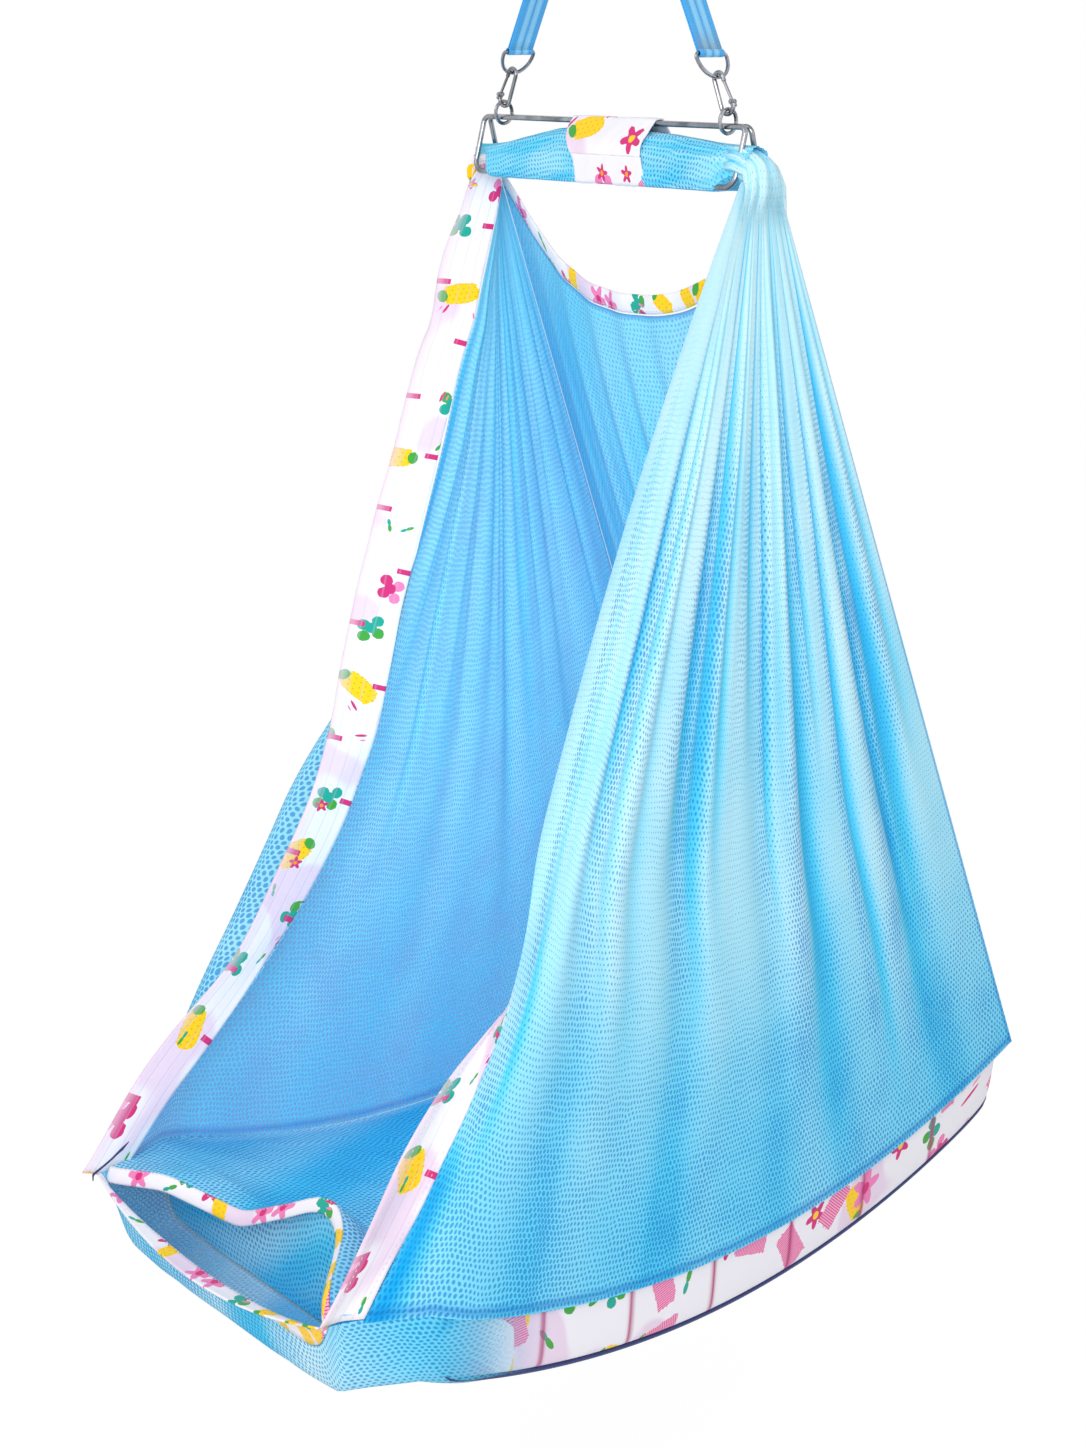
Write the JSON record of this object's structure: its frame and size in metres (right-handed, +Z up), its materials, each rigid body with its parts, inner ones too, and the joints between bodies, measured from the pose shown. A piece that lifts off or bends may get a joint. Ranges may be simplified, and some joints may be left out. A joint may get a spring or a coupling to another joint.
{
  "type": "hanging baby cradle",
  "caption": "Hanging net baby cradle: a gathered net tent over a curved mattress, on steel hanger loops and a webbing sling.",
  "frame": {"origin": "the hang point: inside top of the steel hang ring, where the hook of a stand or ceiling bears", "axes": "+Z up, +X along the hanger to the right, -Y towards the open end of the tent, so +Y is the closed end"},
  "size_m": [0.448, 0.9151, 1.5008],
  "materials": {
    "polished_steel": "polished stainless wire and rod",
    "sky_webbing": "woven webbing with pale lengthwise stripes",
    "sky_net": "knitted net with open hex holes",
    "print_cloth": null,
    "navy_cloth": "plain navy cotton"
  },
  "bodies": {
    "anchor": {"hang_ring": "polished_steel"},
    "sling": {"strap_ring": "polished_steel", "sling_strap": "sky_webbing", "left_end_ring": "polished_steel", "left_hook_body": "polished_steel", "left_gate_pin": "polished_steel", "left_eye_ring": "polished_steel", "right_end_ring": "polished_steel", "right_hook_body": "polished_steel", "right_gate_pin": "polished_steel", "right_eye_ring": "polished_steel"},
    "left_gate": {"left_hook_gate": "polished_steel"},
    "right_gate": {"right_hook_gate": "polished_steel"},
    "cradle": {"front_hanger_loop": "polished_steel", "rear_hanger_loop": "polished_steel", "net_roll": "sky_net", "tie_band": "print_cloth", "left_side_net": "sky_net", "right_side_net": "sky_net", "far_end_net": "sky_net", "left_entry_trim": "print_cloth", "right_entry_trim": "print_cloth", "scoop_trim": "print_cloth", "pocket_net": "sky_net", "lower_lip_trim": "print_cloth", "mattress": "print_cloth", "mattress_base": "navy_cloth", "bed_top_net": "sky_net", "upper_lip_trim": "print_cloth", "left_corner_tie": "navy_cloth"}
  },
  "joints": [
    {"name": "sling_swing", "type": "hinge", "parent": "anchor", "child": "sling", "pos_m": [0, 0, -0.037], "axis": [1, 0, 0], "range_deg": [-20, 20]},
    {"name": "cradle_swing", "type": "hinge", "parent": "sling", "child": "cradle", "pos_m": [0, 0, -0.36539], "axis": [1, 0, 0], "range_deg": [-15, 15]},
    {"name": "left_gate_turn", "type": "hinge", "parent": "sling", "child": "left_gate", "pos_m": [-0.15053, 0, -0.3447], "axis": [0, -1, 0], "range_deg": [-20, 0], "stiffness_Nm_per_rad": 0.02, "springref_deg": 5.73},
    {"name": "right_gate_turn", "type": "hinge", "parent": "sling", "child": "right_gate", "pos_m": [0.15053, 0, -0.3447], "axis": [0, 1, 0], "range_deg": [-20, 0], "stiffness_Nm_per_rad": 0.02, "springref_deg": 5.73}
  ]
}
